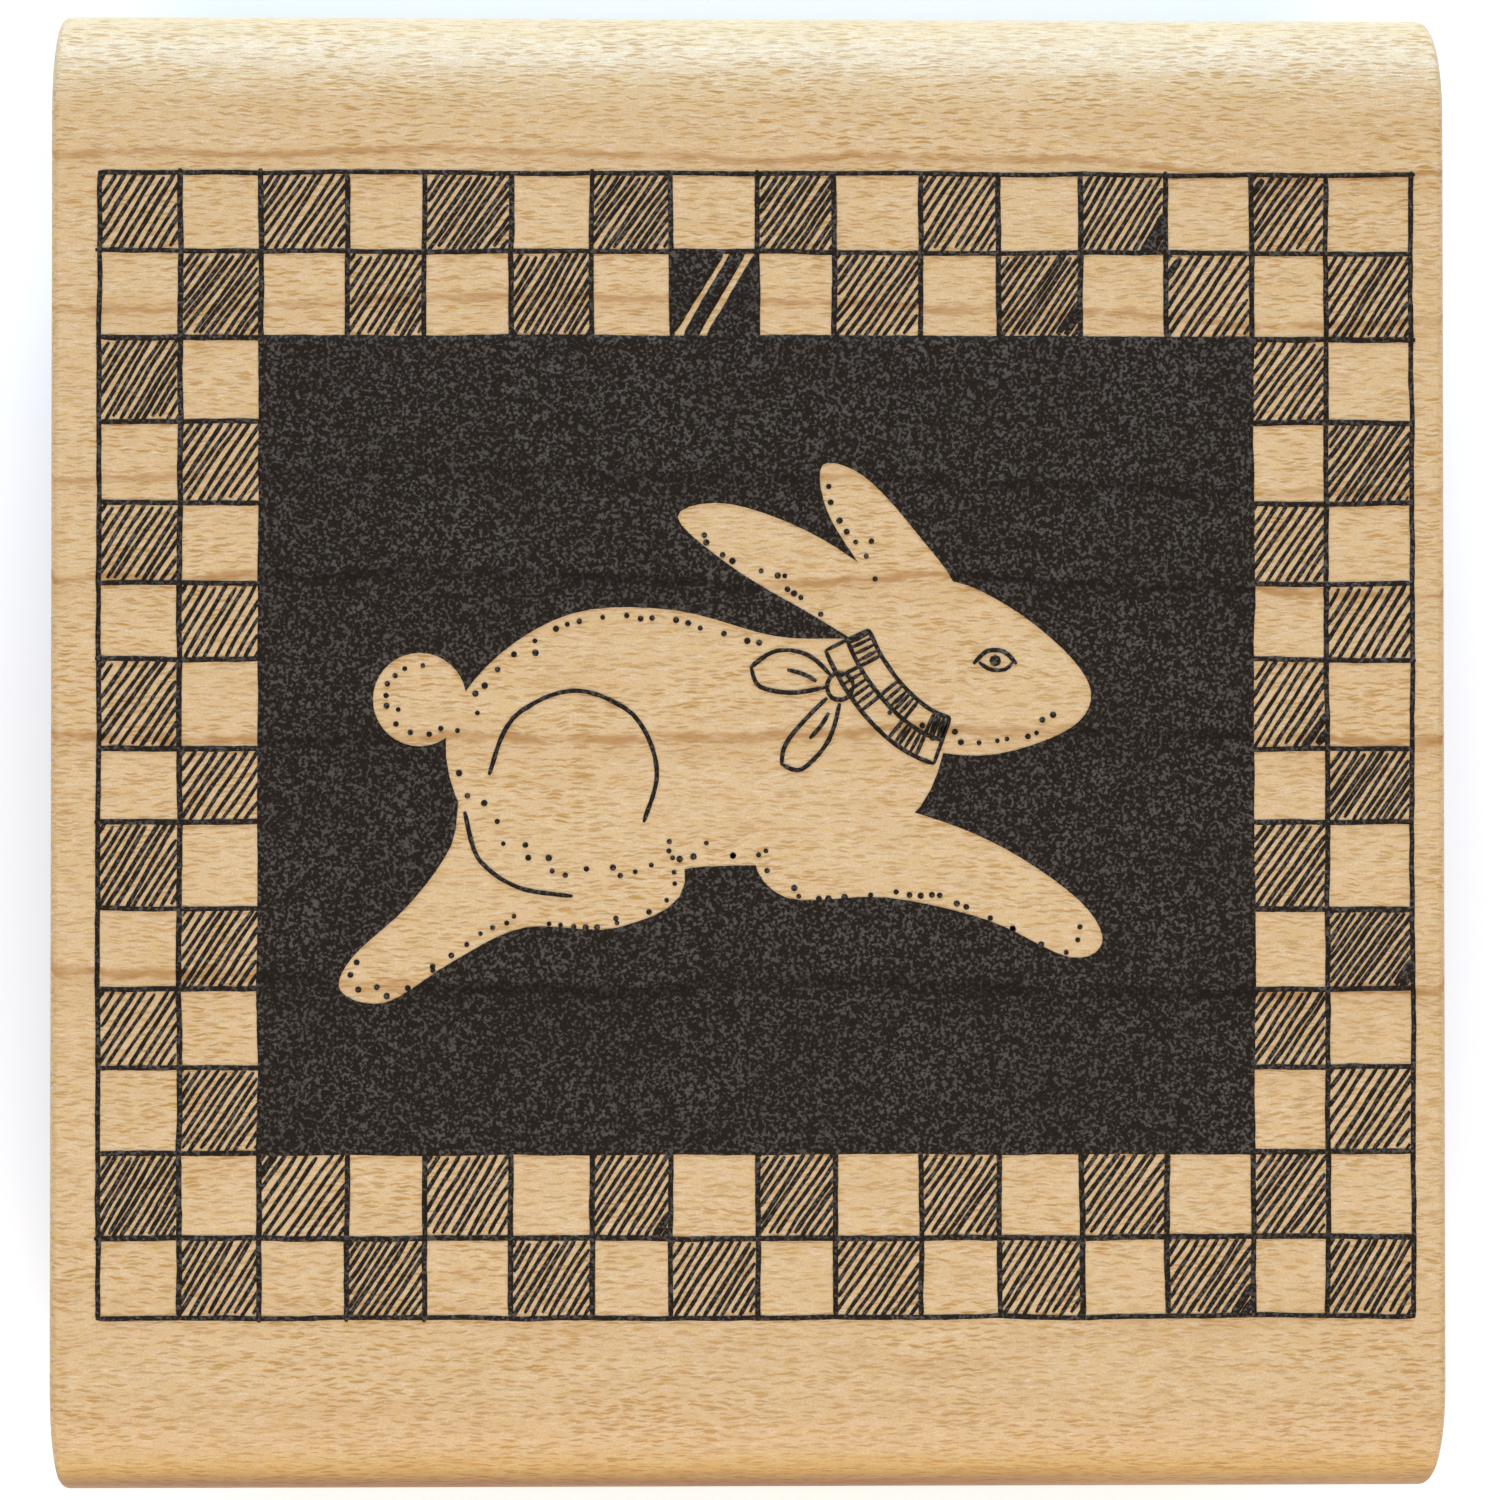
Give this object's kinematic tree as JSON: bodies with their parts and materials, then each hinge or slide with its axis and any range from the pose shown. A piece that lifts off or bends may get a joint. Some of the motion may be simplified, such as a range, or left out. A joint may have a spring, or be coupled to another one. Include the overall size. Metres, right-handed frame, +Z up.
{
  "type": "rubber stamp",
  "caption": "Wood-mounted craft rubber stamp: a grooved maple block with its picture printed on top, over a foam cushion and a raised rubber die.",
  "frame": {"origin": "middle of the printing face of the rubber die, which is the bottom of the part", "axes": "+Z up from the printing face through the block, +X along the wood's grain to the picture's right, +Y to the top of the picture"},
  "size_m": [0.076, 0.082, 0.0248],
  "materials": {
    "maple": "satin",
    "ink": "matte",
    "film": "satin",
    "foam": "matte",
    "die_rubber": "matte"
  },
  "bodies": {
    "die": {"rubber_die": "die_rubber", "die_adhesive": "film", "foam_cushion": "foam"},
    "block": {"wood_block": "maple", "index_print": "ink", "block_adhesive": "film"}
  },
  "joints": [
    {"name": "cushion_press", "type": "slide", "parent": "die", "child": "block", "axis": [0, 0, -1], "range_m": [0, 0.001], "stiffness_N_per_m": 40000, "springref_m": -0.00005, "deforming": ["foam_cushion"]}
  ]
}
